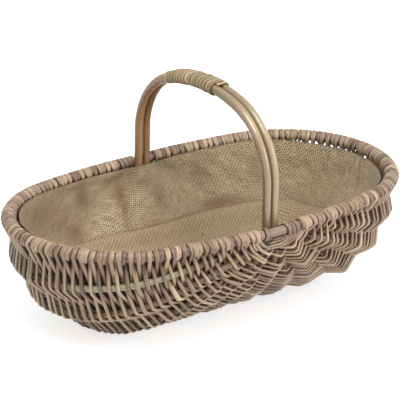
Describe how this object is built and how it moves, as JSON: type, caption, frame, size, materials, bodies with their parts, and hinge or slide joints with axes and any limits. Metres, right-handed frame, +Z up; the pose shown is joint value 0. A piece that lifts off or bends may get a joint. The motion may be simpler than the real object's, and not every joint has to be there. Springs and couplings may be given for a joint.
{
  "type": "garden trug basket",
  "caption": "Long oval willow frame basket with an up-curved woven wall on a ribbed frame, a fixed double-rod bow handle with a bound grip and a sewn-in cloth lining.",
  "frame": {"origin": "middle of the underside, on the ground", "axes": "+X along the length of the basket towards its right end, +Y across it towards the back foot of the handle, +Z up"},
  "size_m": [0.6064, 0.3522, 0.3221],
  "materials": {
    "willow_hoop": "satin",
    "willow_rib": "satin",
    "steamed_willow": "satin",
    "dark_willow": "satin",
    "handle_cane": "satin",
    "cane_skein": "satin",
    "hessian": "matte"
  },
  "bodies": {
    "root": {"rim_hoop": "willow_hoop", "handle_rod_left": "handle_cane", "handle_rod_right": "handle_cane", "grip_binding": "cane_skein", "foot_lashing_front": "dark_willow", "foot_lashing_back": "dark_willow", "rib_right_1": "willow_rib", "rib_right_2": "willow_rib", "rib_right_3": "willow_rib", "rib_right_4": "willow_rib", "rib_right_5": "willow_rib", "rib_bottom": "willow_rib", "rib_left_5": "willow_rib", "rib_left_4": "willow_rib", "rib_left_3": "willow_rib", "rib_left_2": "willow_rib", "rib_left_1": "willow_rib", "weaver_front_1": "steamed_willow", "weaver_front_2": "steamed_willow", "weaver_front_3": "steamed_willow", "weaver_back_1": "steamed_willow", "weaver_back_2": "steamed_willow", "weaver_back_3": "steamed_willow", "lining_wall": "hessian", "lining_base": "hessian"}
  },
  "joints": []
}
